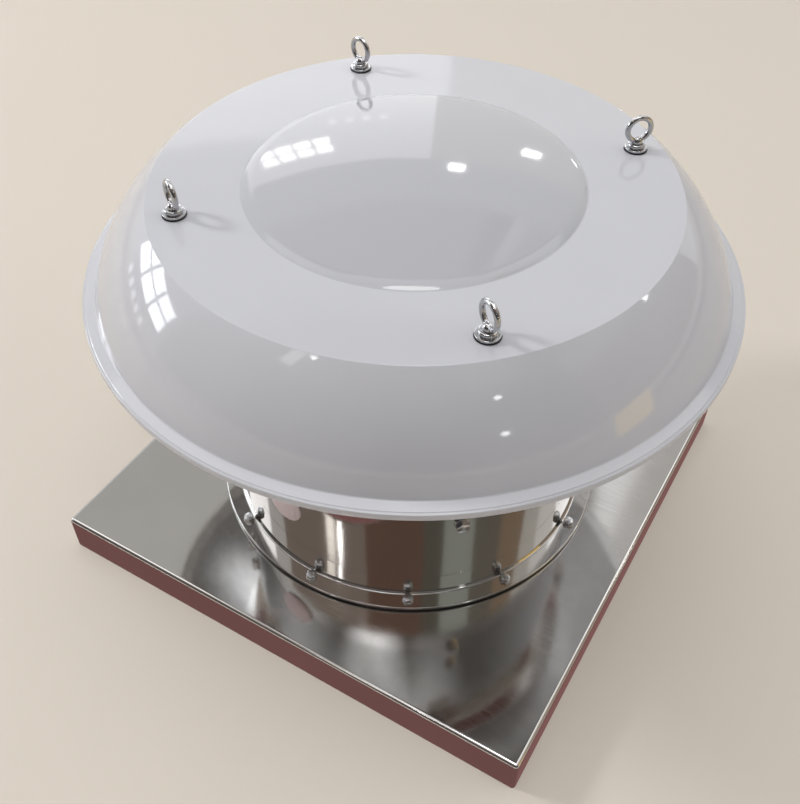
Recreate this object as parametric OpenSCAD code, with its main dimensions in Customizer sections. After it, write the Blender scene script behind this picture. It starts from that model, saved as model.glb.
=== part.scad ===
// Roof-mounted axial exhaust fan: square curb cap, wind tube, direct-drive
// impeller on a bracket, and a weather hood with a domed crown hung on four eye bolts.
// Millimetres, +Z up, origin on the fan axis in the plane of the skirt's lower edge.

/* [Curb cap] */
// Side of the square curb cap
base_side = 577; // [478:1:700]
// Height of the curb cap, from the skirt's lower edge to its top face
base_height = 47; // [30:1:80]
// Sheet thickness of the curb cap
base_sheet = 2; // [1.5:0.5:3]
// Outside radius of the curb cap's folded edges
base_edge_r = 4; // [3:0.5:8]

/* [Wind tube] */
// Inside diameter of the wind tube
casing_bore = 400; // [330:1:490]
// Sheet thickness of the wind tube and its flange rings
casing_wall = 3; // [2:0.5:4]
// Height of the wind tube over both flanges
casing_height = 312; // [260:1:400]
// How far each flange stands out from the tube wall
flange_width = 19.5; // [19:0.5:24]
// Number of bolts holding the tube to the curb cap
flange_bolt_count = 12; // [8:4:16]
// Thickness of the gasket under the lower flange
gasket_thickness = 3; // [1.5:0.5:6]

/* [Hood] */
// How far the hood's lip stands out beyond the wind tube
hood_overhang = 123; // [100:1:150]
// How far the lip hangs below the top of the wind tube
lip_drop = 12; // [8:1:40]
// Width of the out-turned lip
lip_width = 12.6; // [8:0.2:20]
// Height of the crown above the lip's outer edge
hood_rise = 90.5; // [80:0.5:110]
// Radial distance from the foot of the hood's body to the crown's edge
body_inset = 62; // [52:1:74]
// Outward bulge of the body between the lip and the crown
body_bulge = 8; // [6:0.5:14]
// Width of the level ring around the dome
crown_width = 89.5; // [76:0.5:100]
// Height of the dome above the level ring
dome_height = 16.5; // [10:0.5:24]
// Wall thickness of the moulded hood
hood_wall = 4; // [3:0.5:5]

/* [Eye bolts] */
// Outside diameter of each lifting ring
eye_ring_d = 29; // [27:1:36]
// Thickness of the ring's round bar
eye_bar_d = 5.5; // [4.5:0.5:7]

/* [Fan wheel] */
// Number of impeller blades
blade_count = 6; // [4:1:8]
// Blade pitch, from level
blade_pitch = 28; // [20:1:35]
// Blade width across the camber
blade_chord = 92; // [70:1:100]
// Gap between the blade tips and the wind tube
tip_gap = 4; // [2:0.5:8]

/* [Motor] */
// Height of the motor plate above the gasket
motor_plate_height = 100; // [96:1:112]
// Length of the finned motor frame
frame_length = 137; // [137:1:160]

/* [Display] */
// Which piece to draw

/* [Hidden] */

$fn = 96;
eps = 1;                    // how far a cutting shape runs past the face it opens
seat = 0.1;                 // radial gap left between curved faces that seat on each other
fit = 0.05;                 // radial gap of a bore on its shaft

// Colours
c_steel = [0.78, 0.79, 0.80];
c_bolt = [0.66, 0.67, 0.69];
c_hood = [0.90, 0.90, 0.92];
c_rubber = [0.12, 0.12, 0.12];
c_motor = [0.35, 0.38, 0.42];
c_copper = [0.72, 0.42, 0.22];
c_aluminium = [0.74, 0.76, 0.78];
c_plastic = [0.88, 0.84, 0.84];

// Curb cap and tube heights
casing_r = casing_bore / 2 + casing_wall;
casing_z = base_height + gasket_thickness;
casing_top = casing_z + casing_height;
flange_r = casing_r + flange_width;
weld_bead = 2;              // width of the bead between the tube and each flange ring
bolt_circle_r = casing_r + 8.6;

// Fastener sizes: [shank radius, across flats, head height, nut height, washer radius, washer height]
m5 = [2.5, 8, 5, 4, 5, 1];
m6 = [3, 10, 4, 5, 6, 1.2];
m8 = [4, 13, 5.3, 6.5, 8, 1.6];
m10 = [5, 16, 6.4, 8, 11, 2];
hole_slack = 0.4;           // radial slack of a bolt in its hole
nut_slack = 0.1;            // radial slack of a nut on its bolt

// Hood
lip_r = casing_r + hood_overhang;
lip_z = casing_top - lip_drop;
lip_rise = 3;               // slope of the lip, edge to foot of the body
lip_turn = 7;               // depth of the lip's turned-down edge
body_r = lip_r - lip_width;
body_z = lip_z + lip_rise;
crown_r = body_r - body_inset;
crown_z = lip_z + hood_rise;
dome_r = crown_r - crown_width;
body_rise = crown_z - body_z;
body_chord = sqrt(pow(body_inset, 2) + pow(body_rise, 2));
body_arc_r = (pow(body_chord / 2, 2) + pow(body_bulge, 2)) / (2 * body_bulge);
body_arc_x = (body_r + crown_r) / 2 - (body_arc_r - body_bulge) * body_rise / body_chord;
body_arc_z = (body_z + crown_z) / 2 - (body_arc_r - body_bulge) * body_inset / body_chord;
shoulder_width = 12;        // steeper band round the foot of the dome
shoulder_rise = 4;
cap_r = dome_r - shoulder_width;
cap_rise = dome_height - shoulder_rise;
cap_sphere_r = (pow(cap_r, 2) + pow(cap_rise, 2)) / (2 * cap_rise);
cap_centre_z = crown_z + dome_height - cap_sphere_r;

// Hood stays and eye bolts
diagonals = [45, 135, 225, 315];
eye_circle_r = crown_r - 27;
stay_width = 40;
stay_bar = 4;
stay_outer_r = eye_circle_r + 16;
stay_inner_r = eye_circle_r - 16;
pad_thickness = 2.5;
stay_top = crown_z - hood_wall - pad_thickness;
sealing_washer_r = 11.5;
sealing_washer_h = 1.5;
eye_seat_z = crown_z + sealing_washer_h + m10[5];
eye_collar_r = 8.5;
eye_collar_h = 4;
eye_neck_r = 5.5;
eye_neck_h = 1;
eye_ring_z = eye_seat_z + eye_collar_h + eye_ring_d / 2;
eye_turns = [0, 28, -75, 12];   // how far each ring happens to be turned about its shank
eye_shank_z = stay_top - stay_bar - m10[5] - m10[3] - 4;

// Motor bracket
plate_z = casing_z + motor_plate_height;
plate_t = 5;
plate_r = 90;
arm_t = 5;
arm_h = 35;
arm_r0 = 73;
tab_t = 4;
tab_w = 40;
tab_h = 76;
tab_r = casing_bore / 2 - seat;
bracket_bolt_heights = [18, 58];    // above the motor plate's lower face
bracket_nut_r = tab_r - tab_t - 0.15;

// Motor, measured up from the top of the motor plate
motor_z = plate_z + plate_t;
shield_h = 12;
shield_r = 64;
spigot_h = 8;
frame_z = motor_z + shield_h;
frame_top = frame_z + frame_length;
frame_bore_r = 55;
frame_bore_lower_r = 53.5;
frame_r = 62;
fin_r = 69;
fin_count = 32;
fin_t = 2.4;
shield_bolt_r = 58.5;
core_z = motor_z + 50;
core_h = 70;
stator_bore_r = 35;
air_gap = 0.4;
coil_h = 17;
bearing_r = 20;
bearing_bore_r = 8.5;
bearing_h = 12;
ball_circle_r = 14;
ball_r = 2.5;
ball_count = 9;
lower_bearing_z = motor_z + 6;
upper_bearing_z = frame_top - 9;
boss_r = 26;
motor_bolt_circle_r = 42.5;
motor_bolt_depth = 10;

// Terminal box on the motor's side
box_face_y = 74;
box_depth = 32;
box_w = 64;
box_h = 68;
box_wall = 3;
box_z = core_z - 3;
lid_t = 3.5;
lid_screw_in = 6;
gland_y = box_face_y + 16;
gland_r = 8;
gland_bore_r = 5;

// Cable entry plug in the tube wall
plug_azimuth = 260;
plug_z = casing_z + 97;
plug_r = 22.5;
plug_hole_r = 19;
plug_cap = 3.5;

// Shaft and fan wheel
shaft_end_r = 7;
shaft_core_r = 11;
shaft_collar_r = 13;
hub_top = plate_z - 12;
hub_h = 48;
hub_r = 58;
hub_wall = 4;
hub_web_t = 6;
boss_h = 40;
hub_boss_r = 18;
shaft_end = hub_top - boss_h + 1;
key_w = 5;
key_z0 = hub_top - 34;
key_h = 24;
key_r0 = 4;
key_r1 = 9;
retainer_r = 14;
retainer_t = 3;
blade_t = 3;
blade_camber_r = 120;
blade_tip_r = casing_bore / 2 - tip_gap;
blade_mid_z = hub_top - 24;

// ---------- helpers ----------

// Flat ring standing on z = 0
module ring(r_out, r_in, h) {
    difference() {
        cylinder(r = r_out, h = h);
        translate([0, 0, -eps]) cylinder(r = r_in, h = h + 2 * eps);
    }
}

// Hexagonal prism, flats facing along X
module hex(af, h) {
    rotate([0, 0, 30]) cylinder(r = af / sqrt(3), h = h, $fn = 6);
}

// Copies of the children, evenly spaced, set out at radius r
module around(count, r, first = 0) {
    for (i = [0 : count - 1])
        rotate([0, 0, first + i * 360 / count]) translate([r, 0, 0]) children();
}

// Hexagon-head bolt with its washer under the head; z = 0 is the seat, shank pointing down
module hex_bolt(m, length) {
    translate([0, 0, m[5]]) hex(m[1], m[2]);
    cylinder(r = m[4], h = m[5]);
    translate([0, 0, -length]) cylinder(r = m[0], h = length + m[5]);
}

// Hexagon nut hanging below z = 0
module hex_nut(m) {
    translate([0, 0, -m[3]]) difference() {
        hex(m[1], m[3]);
        translate([0, 0, -eps]) cylinder(r = m[0] + nut_slack, h = m[3] + 2 * eps);
    }
}

// Socket-head screw; z = 0 is the seat, shank pointing down
module socket_screw(shank_r, head_r, head_h, length) {
    difference() {
        cylinder(r = head_r, h = head_h);
        translate([0, 0, head_h / 2]) hex(head_r, head_h);
    }
    translate([0, 0, -length]) cylinder(r = shank_r, h = length + head_h / 4);
}

// ---------- curb cap ----------

// Solid block with rounded upright and top edges
module soft_block(side, height, r) {
    run = side / 2 - r;
    for (turn = [0, 90]) rotate([0, 0, turn])
        translate([-run, -side / 2, 0]) cube([2 * run, side, height - r]);
    translate([-run, -run, 0]) cube([2 * run, 2 * run, height]);
    for (turn = [0 : 90 : 270]) rotate([0, 0, turn]) {
        translate([run, run, 0]) cylinder(r = r, h = height - r);
        translate([run, run, height - r]) sphere(r = r);
        translate([-run, -run, height - r]) rotate([0, 90, 0]) cylinder(r = r, h = 2 * run);
    }
}

module base_plate() {
    color(c_steel) difference() {
        soft_block(base_side, base_height, base_edge_r);
        translate([0, 0, -eps])
            soft_block(base_side - 2 * base_sheet, base_height - base_sheet + eps,
                       base_edge_r - base_sheet);
        translate([0, 0, base_height / 2]) cylinder(r = casing_bore / 2, h = base_height);
        around(flange_bolt_count, bolt_circle_r)
            translate([0, 0, base_height / 2]) cylinder(r = m6[0] + hole_slack, h = base_height);
    }
}

module flange_gasket() {
    color(c_rubber) translate([0, 0, base_height]) difference() {
        ring(flange_r - 0.5, casing_bore / 2, gasket_thickness);
        around(flange_bolt_count, bolt_circle_r)
            translate([0, 0, -eps]) cylinder(r = m6[0] + hole_slack, h = gasket_thickness + 2 * eps);
    }
}

// ---------- wind tube ----------

// Half section of the tube: the wall, with a weld bead at each end where a flange ring joins it
module tube_section() {
    tube_h = casing_height - 2 * casing_wall;
    translate([casing_bore / 2, 0]) polygon([
        [0, 0], [casing_wall + weld_bead, 0], [casing_wall, weld_bead],
        [casing_wall, tube_h - weld_bead], [casing_wall + weld_bead, tube_h], [0, tube_h]]);
}

module wind_tube() {
    color(c_steel) difference() {
        translate([0, 0, casing_z + casing_wall]) rotate_extrude() tube_section();
        for (a = diagonals, h = bracket_bolt_heights)
            rotate([0, 0, a]) translate([casing_bore / 2 - 5, 0, plate_z + h])
                rotate([0, 90, 0]) cylinder(r = m8[0] + hole_slack, h = casing_wall + 10);
        rotate([0, 0, plug_azimuth]) translate([casing_bore / 2 - 10, 0, plug_z])
            rotate([0, 90, 0]) cylinder(r = plug_hole_r, h = casing_wall + 20);
    }
}

module lower_flange() {
    color(c_steel) translate([0, 0, casing_z]) difference() {
        ring(flange_r, casing_bore / 2, casing_wall);
        around(flange_bolt_count, bolt_circle_r)
            translate([0, 0, -eps]) cylinder(r = m6[0] + hole_slack, h = casing_wall + 2 * eps);
    }
}

module upper_flange() {
    color(c_steel) translate([0, 0, casing_top - casing_wall]) difference() {
        ring(flange_r, casing_bore / 2, casing_wall);
        around(4, bolt_circle_r, diagonals[0])
            translate([0, 0, -eps]) cylinder(r = m8[0] + hole_slack, h = casing_wall + 2 * eps);
    }
}

module flange_bolts() {
    color(c_bolt) around(flange_bolt_count, bolt_circle_r)
        translate([0, 0, casing_z + casing_wall])
            hex_bolt(m6, casing_wall + gasket_thickness + base_sheet + m6[3] + 3);
}

module flange_nuts() {
    color(c_bolt) around(flange_bolt_count, bolt_circle_r)
        translate([0, 0, base_height - base_sheet]) hex_nut(m6);
}

// Blanking plug: a cap curved to lie on the tube, and a shank through the wall
module cable_entry_plug() {
    shank_r = plug_hole_r - 2 * seat;
    color(c_plastic) rotate([0, 0, plug_azimuth]) translate([casing_bore / 2, 0, plug_z])
        difference() {
            rotate([0, 90, 0]) union() {
                cylinder(r = plug_r, h = casing_wall + plug_cap);
                translate([0, 0, -3]) cylinder(r = shank_r, h = casing_wall + plug_cap);
            }
            intersection() {
                rotate([0, 90, 0]) translate([0, 0, -eps]) ring(plug_r + eps, shank_r, 10);
                translate([-casing_bore / 2, 0, -2 * plug_r])
                    cylinder(r = casing_r + seat, h = 4 * plug_r);
            }
        }
}

// ---------- motor bracket ----------

module motor_plate() {
    color(c_steel) translate([0, 0, plate_z]) difference() {
        ring(plate_r, 36, plate_t);
        around(4, motor_bolt_circle_r, 45)
            translate([0, 0, -eps]) cylinder(r = m6[0] + hole_slack, h = plate_t + 2 * eps);
    }
}

// Four radial bars on edge, each with a curved tab that lies against the tube wall
module bracket_arms() {
    color(c_steel) for (a = diagonals) rotate([0, 0, a]) difference() {
        union() {
            translate([arm_r0, -arm_t / 2, motor_z]) cube([tab_r - tab_t / 2 - arm_r0, arm_t, arm_h]);
            intersection() {
                translate([0, 0, plate_z]) ring(tab_r, tab_r - tab_t, tab_h);
                translate([0, -tab_w / 2, plate_z]) cube([tab_r + eps, tab_w, tab_h]);
            }
        }
        // the bar is notched clear of the lower nut
        translate([tab_r - tab_t - 22, -9, plate_z + bracket_bolt_heights[0] - 10])
            cube([22, 18, 20]);
        for (h = bracket_bolt_heights) translate([tab_r - 2 * tab_t, 0, plate_z + h])
            rotate([0, 90, 0]) cylinder(r = m8[0] + hole_slack, h = 4 * tab_t);
    }
}

module bracket_bolts() {
    color(c_bolt) for (a = diagonals, h = bracket_bolt_heights)
        rotate([0, 0, a]) translate([casing_r, 0, plate_z + h]) rotate([0, 90, 0])
            hex_bolt(m8, casing_r - bracket_nut_r + m8[3] + 3);
}

module bracket_nuts() {
    color(c_bolt) for (a = diagonals, h = bracket_bolt_heights)
        rotate([0, 0, a]) translate([bracket_nut_r, 0, plate_z + h]) rotate([0, 90, 0])
            hex_nut(m8);
}

// ---------- motor ----------

module lower_end_shield() {
    color(c_motor) difference() {
        union() {
            translate([0, 0, motor_z]) cylinder(r = 54, h = shield_h / 2);
            translate([0, 0, motor_z + shield_h / 2]) cylinder(r = shield_r, h = shield_h / 2);
            translate([0, 0, frame_z]) cylinder(r = frame_bore_lower_r - seat, h = spigot_h);
            translate([0, 0, motor_z - 3]) cylinder(r = 35, h = 3);
        }
        translate([0, 0, frame_z]) ring(46, boss_r, spigot_h + eps);
        translate([0, 0, lower_bearing_z]) cylinder(r = bearing_r + fit, h = 40);
        translate([0, 0, lower_bearing_z - 1.5]) cylinder(r = 15.5, h = 40);
        translate([0, 0, motor_z - 10]) cylinder(r = bearing_bore_r + 1, h = 40);
        around(4, motor_bolt_circle_r, 45)
            translate([0, 0, motor_z - eps]) cylinder(r = m6[0] + nut_slack, h = motor_bolt_depth + eps);
        around(4, shield_bolt_r)
            translate([0, 0, motor_z]) cylinder(r = m5[0] + nut_slack, h = shield_h + eps);
        // flats cut for the heads of the four shield screws
        around(4, shield_bolt_r) translate([0, 0, motor_z - eps])
            cylinder(r = 5, h = shield_h / 2 + eps);
    }
}

module motor_frame() {
    color(c_motor) difference() {
        union() {
            translate([0, 0, frame_z]) cylinder(r = frame_r, h = frame_length);
            around(fin_count, 0) translate([frame_r - eps, -fin_t / 2, frame_z + 4])
                cube([fin_r - frame_r + eps, fin_t, frame_length - 8]);
            translate([-box_w / 2 - 2, -box_face_y, box_z - 2]) cube([box_w + 4, 30, box_h + 4]);
        }
        translate([0, 0, frame_z - eps]) cylinder(r = frame_bore_lower_r, h = frame_length + 2 * eps);
        translate([0, 0, core_z]) cylinder(r = frame_bore_r, h = frame_length);
        translate([0, -box_face_y, box_z + box_h / 2]) rotate([90, 0, 0])
            translate([0, 0, -25]) cylinder(r = 10, h = 30);
        for (z = [frame_z - eps, frame_top - 10]) around(4, shield_bolt_r)
            translate([0, 0, z]) cylinder(r = m5[0] + nut_slack, h = 10 + eps);
    }
}

module upper_end_shield() {
    color(c_motor) difference() {
        union() {
            translate([0, 0, frame_top]) cylinder(r = shield_r, h = shield_h - 4);
            translate([0, 0, frame_top + shield_h - 4]) cylinder(r = 44, h = 4);
            translate([0, 0, frame_top - spigot_h]) cylinder(r = frame_bore_r - seat, h = spigot_h);
            translate([0, 0, upper_bearing_z - 5]) cylinder(r = boss_r, h = 10);
        }
        translate([0, 0, frame_top - spigot_h - eps]) ring(46, boss_r, spigot_h + eps);
        translate([0, 0, upper_bearing_z - 10]) cylinder(r = bearing_r + fit, h = bearing_h + 10);
        translate([0, 0, upper_bearing_z]) cylinder(r = 15.5, h = bearing_h + 5);
        around(4, shield_bolt_r)
            translate([0, 0, frame_top - eps]) cylinder(r = m5[0] + nut_slack, h = shield_h);
    }
}

module shield_screws() {
    color(c_bolt) around(4, shield_bolt_r) {
        translate([0, 0, motor_z + shield_h / 2]) mirror([0, 0, 1])
            socket_screw(m5[0], 4.25, m5[2], shield_h / 2 + 9);
        translate([0, 0, frame_top + shield_h - 4])
            socket_screw(m5[0], 4.25, m5[2], shield_h - 4 + 9);
    }
}

module stator_core() {
    color(c_bolt) translate([0, 0, core_z]) ring(frame_bore_r - seat, stator_bore_r, core_h);
}

// Coil ends above and below the stator core
module windings() {
    coil_w = 12;
    color(c_copper) for (z = [core_z - coil_h, core_z + core_h]) translate([0, 0, z])
        rotate_extrude() translate([39, 0]) union() {
            translate([0, 3]) square([coil_w, coil_h - 6]);
            translate([3, 0]) square([coil_w - 6, coil_h]);
            for (x = [3, coil_w - 3], y = [3, coil_h - 3]) translate([x, y]) circle(r = 3);
        }
}

module bearing_outer_rings() {
    color(c_steel) for (z = [lower_bearing_z, upper_bearing_z]) translate([0, 0, z])
        difference() {
            ring(bearing_r, ball_circle_r + 2, bearing_h);
            translate([0, 0, bearing_h / 2]) rotate_extrude()
                translate([ball_circle_r, 0]) circle(r = ball_r + 0.4);
        }
}

module motor_bolts() {
    color(c_bolt) around(4, motor_bolt_circle_r, 45) translate([0, 0, plate_z])
        mirror([0, 0, 1]) hex_bolt(m6, plate_t + motor_bolt_depth - 1);
}

module terminal_box() {
    color(c_motor) difference() {
        translate([-box_w / 2, -box_face_y - box_depth, box_z]) cube([box_w, box_depth, box_h]);
        difference() {
            translate([-box_w / 2 + box_wall, -box_face_y - box_depth - eps, box_z + box_wall])
                cube([box_w - 2 * box_wall, box_depth - box_wall + eps, box_h - 2 * box_wall]);
            for (x = [-1, 1], z = [0, 1])
                translate([x * (box_w / 2 - lid_screw_in), 0,
                           box_z + lid_screw_in + z * (box_h - 2 * lid_screw_in)])
                    rotate([90, 0, 0]) cylinder(r = 5, h = box_face_y + box_depth);
        }
        box_screw_places() rotate([90, 0, 0])
            translate([0, 0, -14]) cylinder(r = 2 + nut_slack, h = 14 + eps);
        translate([-box_w / 2 - eps, -gland_y, box_z + box_h / 2]) rotate([0, 90, 0])
            cylinder(r = gland_r + hole_slack, h = box_wall + 2 * eps);
        translate([0, -box_face_y - eps, box_z + box_h / 2]) rotate([-90, 0, 0])
            translate([0, 0, -box_wall]) cylinder(r = 10, h = box_wall + 2 * eps);
    }
}

// The four lid screw positions, on the open face of the terminal box
module box_screw_places() {
    for (x = [-1, 1], z = [0, 1])
        translate([x * (box_w / 2 - lid_screw_in), -box_face_y - box_depth,
                   box_z + lid_screw_in + z * (box_h - 2 * lid_screw_in)]) children();
}

module terminal_box_lid() {
    color(c_motor) difference() {
        translate([-box_w / 2 - 1, -box_face_y - box_depth - lid_t, box_z - 1])
            cube([box_w + 2, lid_t, box_h + 2]);
        box_screw_places() rotate([90, 0, 0])
            translate([0, 0, -eps]) cylinder(r = 2 + hole_slack, h = lid_t + 2 * eps);
    }
}

module lid_screws() {
    color(c_bolt) box_screw_places() rotate([90, 0, 0])
        translate([0, 0, lid_t]) socket_screw(2, 3.5, 2.4, lid_t + 12);
}

// Gland on the side of the terminal box: body and dome nut outside, thread through the wall
module cable_gland() {
    color(c_rubber) translate([-box_w / 2, -gland_y, box_z + box_h / 2]) rotate([0, 90, 0])
        difference() {
            union() {
                translate([0, 0, -8]) hex(22, 8);
                translate([0, 0, -20]) hex(20, 9);
                translate([0, 0, -12]) cylinder(r = gland_r, h = 12 + box_wall + 3);
            }
            translate([0, 0, -20 - eps]) cylinder(r = gland_bore_r, h = 40);
        }
}

// ---------- hood ----------

// Strap bent square: foot on the upper flange, web, and a top leg under the crown
module hood_stays() {
    color(c_steel) for (a = diagonals) rotate([0, 0, a]) difference() {
        translate([stay_inner_r, -stay_width / 2, casing_top])
            cube([stay_outer_r - stay_inner_r, stay_width, stay_top - casing_top]);
        translate([stay_inner_r - eps, -stay_width, casing_top + stay_bar])
            cube([stay_outer_r - stay_inner_r - stay_bar + eps, 2 * stay_width,
                  stay_top - casing_top - 2 * stay_bar]);
        translate([bolt_circle_r, 0, casing_top - eps])
            cylinder(r = m8[0] + hole_slack, h = stay_bar + 2 * eps);
        translate([eye_circle_r, 0, stay_top - stay_bar - eps])
            cylinder(r = m10[0] + hole_slack, h = stay_bar + 2 * eps);
    }
}

module stay_bolts() {
    color(c_bolt) around(4, bolt_circle_r, diagonals[0])
        translate([0, 0, casing_top + stay_bar]) hex_bolt(m8, stay_bar + casing_wall + m8[3] + 3);
}

module stay_nuts() {
    color(c_bolt) around(4, bolt_circle_r, diagonals[0])
        translate([0, 0, casing_top - casing_wall]) hex_nut(m8);
}

// Everything under the hood's outer face, drawn in by t; two of them make the shell
module hood_core(t) {
    big = 2 * lip_r;
    // body and level ring
    rotate_extrude() intersection() {
        union() {
            translate([body_arc_x, body_arc_z]) circle(r = body_arc_r - t);
            square([(body_arc_x + crown_r) / 2, big]);
        }
        translate([0, body_z - hood_wall - t]) square([big, crown_z - body_z + hood_wall]);
    }
    // dome: a low cap on a steeper shoulder, reaching down into the body
    rotate_extrude() translate([0, -t]) intersection() {
        translate([0, cap_centre_z]) circle(r = cap_sphere_r);
        polygon([[0, crown_z - shoulder_rise], [dome_r + shoulder_width, crown_z - shoulder_rise],
                 [cap_r - 2 * shoulder_width, crown_z + 3 * shoulder_rise],
                 [0, crown_z + 3 * shoulder_rise + cap_rise]]);
    }
}

module hood_lip_section() {
    polygon([[body_r - hood_wall, body_z], [body_r, body_z], [lip_r, lip_z],
             [lip_r, lip_z - lip_turn], [lip_r - hood_wall, lip_z - lip_turn],
             [lip_r - hood_wall, lip_z - hood_wall], [body_r - hood_wall, body_z - hood_wall]]);
}

module hood() {
    color(c_hood) difference() {
        union() {
            difference() {
                hood_core(0);
                hood_core(hood_wall);
            }
            rotate_extrude() hood_lip_section();
        }
        around(4, eye_circle_r, diagonals[0]) translate([0, 0, crown_z - 2 * hood_wall])
            cylinder(r = m10[0] + hole_slack, h = 3 * hood_wall);
    }
}

// Rubber pads between the stays and the underside of the hood
module hood_pads() {
    color(c_rubber) around(4, eye_circle_r, diagonals[0]) translate([0, 0, stay_top])
        ring(14, m10[0] + hole_slack, pad_thickness);
}

module sealing_washers() {
    color(c_rubber) around(4, eye_circle_r, diagonals[0]) translate([0, 0, crown_z])
        ring(sealing_washer_r, m10[0] + nut_slack, sealing_washer_h);
}

module eye_washers() {
    color(c_bolt) around(4, eye_circle_r, diagonals[0]) {
        translate([0, 0, crown_z + sealing_washer_h]) ring(m10[4], m10[0] + nut_slack, m10[5]);
        translate([0, 0, stay_top - stay_bar - m10[5]]) ring(m10[4], m10[0] + nut_slack, m10[5]);
    }
}

// Lifting eye: shank, collar, neck and a round-bar ring
module eye_bolts() {
    color(c_bolt) for (i = [0 : 3]) rotate([0, 0, diagonals[i]]) translate([eye_circle_r, 0, 0]) {
        translate([0, 0, eye_shank_z]) cylinder(r = m10[0], h = eye_seat_z - eye_shank_z + eps);
        translate([0, 0, eye_seat_z]) cylinder(r = eye_collar_r, h = eye_collar_h);
        translate([0, 0, eye_seat_z]) cylinder(r = eye_neck_r, h = eye_collar_h + eye_neck_h);
        translate([0, 0, eye_seat_z + eye_collar_h + eye_neck_h]) sphere(r = eye_neck_r);
        translate([0, 0, eye_ring_z]) rotate([90, 0, eye_turns[i]]) rotate_extrude()
            translate([(eye_ring_d - eye_bar_d) / 2, 0]) circle(r = eye_bar_d / 2);
    }
}

module eye_nuts() {
    color(c_bolt) around(4, eye_circle_r, diagonals[0])
        translate([0, 0, stay_top - stay_bar - m10[5]]) hex_nut(m10);
}

// ---------- rotor and fan wheel ----------

module shaft() {
    color(c_steel) difference() {
        union() {
            translate([0, 0, shaft_end]) cylinder(r = shaft_end_r, h = hub_top - shaft_end);
            translate([0, 0, hub_top])
                cylinder(r = bearing_bore_r, h = upper_bearing_z + bearing_h + 2 - hub_top);
            translate([0, 0, lower_bearing_z + bearing_h])
                cylinder(r = shaft_core_r, h = upper_bearing_z - lower_bearing_z - bearing_h);
            translate([0, 0, core_z - 9]) cylinder(r = shaft_collar_r, h = 9);
        }
        translate([key_r0, -key_w / 2, key_z0]) cube([key_r1, key_w, key_h]);
        translate([0, 0, shaft_end - eps]) cylinder(r = m6[0] + nut_slack, h = 20 + eps);
    }
}

module rotor_core() {
    color(c_bolt) translate([0, 0, core_z])
        ring(stator_bore_r - air_gap, shaft_core_r + fit, core_h);
}

module rotor_end_rings() {
    color(c_aluminium) for (z = [core_z - 7, core_z + core_h]) translate([0, 0, z])
        ring(stator_bore_r - 2.5, 20, 7);
}

// Inner rings with their row of balls
module bearing_inner_rings() {
    color(c_steel) for (z = [lower_bearing_z, upper_bearing_z]) translate([0, 0, z]) {
        ring(ball_circle_r - 2, bearing_bore_r + fit, bearing_h);
        around(ball_count, ball_circle_r) translate([0, 0, bearing_h / 2]) sphere(r = ball_r);
    }
}

module impeller_key() {
    color(c_bolt) translate([key_r0, -key_w / 2, key_z0]) cube([key_r1 - key_r0, key_w, key_h]);
}

module impeller_hub() {
    color(c_aluminium) difference() {
        union() {
            translate([0, 0, hub_top - hub_h]) ring(hub_r, hub_r - hub_wall, hub_h);
            translate([0, 0, hub_top - hub_web_t]) cylinder(r = hub_r - hub_wall / 2, h = hub_web_t);
            translate([0, 0, hub_top - boss_h]) cylinder(r = hub_boss_r, h = boss_h);
        }
        translate([0, 0, hub_top - hub_h - eps]) cylinder(r = shaft_end_r + fit, h = hub_h + 2 * eps);
        translate([0, -key_w / 2, hub_top - hub_h - eps])
            cube([key_r1 + 0.3, key_w, hub_h + 2 * eps]);
    }
}

// Cambered plate blades: a slice of a thin tube lying along the radius, set at the pitch angle
module impeller_blades() {
    color(c_aluminium) for (i = [0 : blade_count - 1]) rotate([0, 0, i * 360 / blade_count])
        intersection() {
            translate([hub_r / 3, 0, blade_mid_z]) rotate([blade_pitch, 0, 0]) rotate([90, 0, 90])
                linear_extrude(blade_tip_r) intersection() {
                    translate([0, -blade_camber_r + 4]) difference() {
                        circle(r = blade_camber_r);
                        circle(r = blade_camber_r - blade_t);
                    }
                    translate([-blade_chord / 2, -blade_chord / 2]) square(blade_chord);
                }
            translate([0, 0, casing_z]) ring(blade_tip_r, hub_r + seat, casing_height);
        }
}

module retaining_washer() {
    color(c_bolt) translate([0, 0, hub_top - boss_h - retainer_t])
        ring(retainer_r, m6[0] + nut_slack, retainer_t);
}

module retaining_bolt() {
    color(c_bolt) translate([0, 0, hub_top - boss_h - retainer_t]) {
        translate([0, 0, -m6[2]]) hex(m6[1], m6[2]);
        translate([0, 0, -eps]) cylinder(r = m6[0], h = retainer_t + 18 + eps);
    }
}

// ---------- what is drawn ----------

base_plate();
flange_gasket();
wind_tube();
lower_flange();
upper_flange();
flange_bolts();
flange_nuts();
cable_entry_plug();
motor_plate();
bracket_arms();
bracket_bolts();
bracket_nuts();
lower_end_shield();
motor_frame();
upper_end_shield();
shield_screws();
stator_core();
windings();
bearing_outer_rings();
motor_bolts();
terminal_box();
terminal_box_lid();
lid_screws();
cable_gland();
hood_stays();
stay_bolts();
stay_nuts();
hood();
hood_pads();
sealing_washers();
eye_washers();
eye_bolts();
eye_nuts();
shaft();
rotor_core();
rotor_end_rings();
bearing_inner_rings();
impeller_key();
impeller_hub();
impeller_blades();
retaining_washer();
retaining_bolt();
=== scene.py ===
"""Roof exhaust fan: domed weather hood on four eye bolts, wind tube, curb cap and fan wheel.

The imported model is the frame. The pieces that show are remade here as fine meshes in the same
place, and every other piece of the frame gets its own finish. All lengths are in metres.
"""
from math import atan2, cos, hypot, pi, radians, sin, sqrt, tan
from random import Random

import bmesh
import bpy
from bpy.props import FloatProperty, FloatVectorProperty, IntProperty, PointerProperty
from mathutils import Matrix, Vector


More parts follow.
